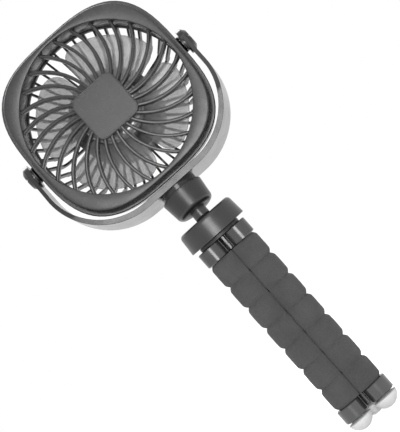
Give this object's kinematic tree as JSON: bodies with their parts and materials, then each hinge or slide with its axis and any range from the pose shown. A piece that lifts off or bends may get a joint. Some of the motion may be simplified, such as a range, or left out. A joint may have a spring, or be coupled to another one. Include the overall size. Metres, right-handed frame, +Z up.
{
  "type": "bendable-leg fan",
  "caption": "Small rounded-square fan in a U-yoke on a ball joint, with a clamp ring and bendable foam-covered legs that wrap round a bar.",
  "frame": {"origin": "on the tripod's axis at the underside of the leg hub, where a wrapped bar bears", "axes": "+Z up along the tripod's axis, the fan faces -Y, +X to the right seen from the front"},
  "size_m": [0.1228, 0.0718, 0.2813],
  "materials": {
    "body_plastic": "fine satin moulded grey",
    "gloss_plastic": "smooth semi-gloss dark grey",
    "dark_plastic": "satin black",
    "blade_plastic": "glossy mid grey",
    "foam": "closed-cell foam, very matt",
    "foot_rubber": "soft white rubber",
    "stud": "black coated metal",
    "steel": "plain steel",
    "brass": "turned brass",
    "board": "green circuit board",
    "cell_foil": "foil pouch",
    "lens": "clear light pipe"
  },
  "bodies": {
    "tripod_hub": {"leg_hub": "dark_plastic", "root_collars": "gloss_plastic", "root_cores": "steel", "leg_1_foam_root": "foam", "leg_2_foam_root": "foam", "leg_3_foam_root": "foam"},
    "lock_ring": {"lock_ring": "gloss_plastic"},
    "ball_seat": {"ball_seat": "dark_plastic"},
    "ball_stud": {"ball_stud": "stud"},
    "yoke": {"yoke_strap": "gloss_plastic", "pivot_caps": "gloss_plastic", "friction_washers": "dark_plastic", "base_cup": "gloss_plastic", "base_screw": "steel", "thread_insert": "brass"},
    "head": {"housing_ring": "body_plastic", "front_grille": "body_plastic", "centre_badge": "body_plastic", "rear_cage": "dark_plastic", "rear_cover": "dark_plastic", "motor": "steel", "circuit_board": "board", "battery_cell": "cell_foil", "charge_port": "steel", "indicator_lens": "lens", "cover_screws": "steel", "rear_screws": "steel", "pivot_pins": "steel"},
    "rotor": {"fan_rotor": "blade_plastic", "motor_shaft": "steel"},
    "button": {"power_button": "body_plastic"},
    "leg_1_upper": {"leg_1_foam_upper": "foam", "leg_1_core_upper": "steel"},
    "leg_1_middle": {"leg_1_foam_middle": "foam", "leg_1_core_middle": "steel"},
    "leg_1_lower": {"leg_1_foam_lower": "foam", "leg_1_core_lower": "steel", "leg_1_end_collar": "gloss_plastic", "leg_1_foot": "foot_rubber"},
    "leg_2_upper": {"leg_2_foam_upper": "foam", "leg_2_core_upper": "steel"},
    "leg_2_middle": {"leg_2_foam_middle": "foam", "leg_2_core_middle": "steel"},
    "leg_2_lower": {"leg_2_foam_lower": "foam", "leg_2_core_lower": "steel", "leg_2_end_collar": "gloss_plastic", "leg_2_foot": "foot_rubber"},
    "leg_3_upper": {"leg_3_foam_upper": "foam", "leg_3_core_upper": "steel"},
    "leg_3_middle": {"leg_3_foam_middle": "foam", "leg_3_core_middle": "steel"},
    "leg_3_lower": {"leg_3_foam_lower": "foam", "leg_3_core_lower": "steel", "leg_3_end_collar": "gloss_plastic", "leg_3_foot": "foot_rubber"}
  },
  "joints": [
    {"name": "lock_turn", "type": "hinge", "parent": "tripod_hub", "child": "lock_ring", "pos_m": [0, 0, 0.0084], "axis": [0, 0, 1], "range_deg": [0, 180]},
    {"name": "ball_swivel", "type": "hinge", "parent": "tripod_hub", "child": "ball_seat", "pos_m": [0, 0, 0.00755], "axis": [0, 0, 1], "continuous": true},
    {"name": "ball_tilt", "type": "hinge", "parent": "ball_seat", "child": "ball_stud", "pos_m": [0, 0, 0.00755], "axis": [1, 0, 0], "range_deg": [-11, 33]},
    {"name": "fan_turn", "type": "hinge", "parent": "ball_stud", "child": "yoke", "pos_m": [0, 0, 0.00755], "axis": [0, 0.1908, 0.9816], "continuous": true},
    {"name": "head_tilt", "type": "hinge", "parent": "yoke", "child": "head", "pos_m": [0, 0.01696, 0.09481], "axis": [1, 0, 0], "continuous": true},
    {"name": "rotor_spin", "type": "hinge", "parent": "head", "child": "rotor", "pos_m": [0, 0.01696, 0.09481], "axis": [0, -0.9816, 0.1908], "continuous": true},
    {"name": "button_press", "type": "slide", "parent": "head", "child": "button", "axis": [0, -0.9816, 0.1908], "range_m": [0, 0.001], "stiffness_N_per_m": 1500, "springref_m": -0.0005},
    {"name": "leg_1_spread", "type": "hinge", "parent": "tripod_hub", "child": "leg_1_upper", "pos_m": [-0.00915, -0.00528, -0.0245], "axis": [-0.5, 0.866, 0], "range_deg": [0, 70], "deforming": ["leg_1_foam_root", "leg_1_foam_upper", "leg_1_core_upper", "root_cores"]},
    {"name": "leg_1_knee", "type": "hinge", "parent": "leg_1_upper", "child": "leg_1_middle", "pos_m": [-0.00915, -0.00528, -0.0547], "axis": [-0.5, 0.866, 0], "range_deg": [-35, 0], "deforming": ["leg_1_foam_middle", "leg_1_core_middle"]},
    {"name": "leg_1_tip", "type": "hinge", "parent": "leg_1_middle", "child": "leg_1_lower", "pos_m": [-0.00915, -0.00528, -0.0849], "axis": [-0.5, 0.866, 0], "range_deg": [-35, 0], "deforming": ["leg_1_foam_lower", "leg_1_core_lower"]},
    {"name": "leg_2_spread", "type": "hinge", "parent": "tripod_hub", "child": "leg_2_upper", "pos_m": [0.00915, -0.00528, -0.0245], "axis": [-0.5, -0.866, 0], "range_deg": [0, 70], "deforming": ["leg_2_foam_root", "leg_2_foam_upper", "leg_2_core_upper"]},
    {"name": "leg_2_knee", "type": "hinge", "parent": "leg_2_upper", "child": "leg_2_middle", "pos_m": [0.00915, -0.00528, -0.0547], "axis": [-0.5, -0.866, 0], "range_deg": [-35, 0], "deforming": ["leg_2_foam_middle", "leg_2_core_middle"]},
    {"name": "leg_2_tip", "type": "hinge", "parent": "leg_2_middle", "child": "leg_2_lower", "pos_m": [0.00915, -0.00528, -0.0849], "axis": [-0.5, -0.866, 0], "range_deg": [-35, 0], "deforming": ["leg_2_foam_lower", "leg_2_core_lower"]},
    {"name": "leg_3_spread", "type": "hinge", "parent": "tripod_hub", "child": "leg_3_upper", "pos_m": [0, 0.01057, -0.0245], "axis": [1, 0, 0], "range_deg": [0, 70], "deforming": ["leg_3_foam_root", "leg_3_foam_upper", "leg_3_core_upper"]},
    {"name": "leg_3_knee", "type": "hinge", "parent": "leg_3_upper", "child": "leg_3_middle", "pos_m": [0, 0.01057, -0.0547], "axis": [1, 0, 0], "range_deg": [-35, 0], "deforming": ["leg_3_foam_middle", "leg_3_core_middle"]},
    {"name": "leg_3_tip", "type": "hinge", "parent": "leg_3_middle", "child": "leg_3_lower", "pos_m": [0, 0.01057, -0.0849], "axis": [1, 0, 0], "range_deg": [-35, 0], "deforming": ["leg_3_foam_lower", "leg_3_core_lower"]}
  ],
  "couplings": [
    {"joint": "leg_1_knee", "follows": "leg_1_spread", "ratio": -0.5},
    {"joint": "leg_1_tip", "follows": "leg_1_spread", "ratio": -0.5},
    {"joint": "leg_2_knee", "follows": "leg_2_spread", "ratio": -0.5},
    {"joint": "leg_2_tip", "follows": "leg_2_spread", "ratio": -0.5},
    {"joint": "leg_3_knee", "follows": "leg_3_spread", "ratio": -0.5},
    {"joint": "leg_3_tip", "follows": "leg_3_spread", "ratio": -0.5}
  ]
}
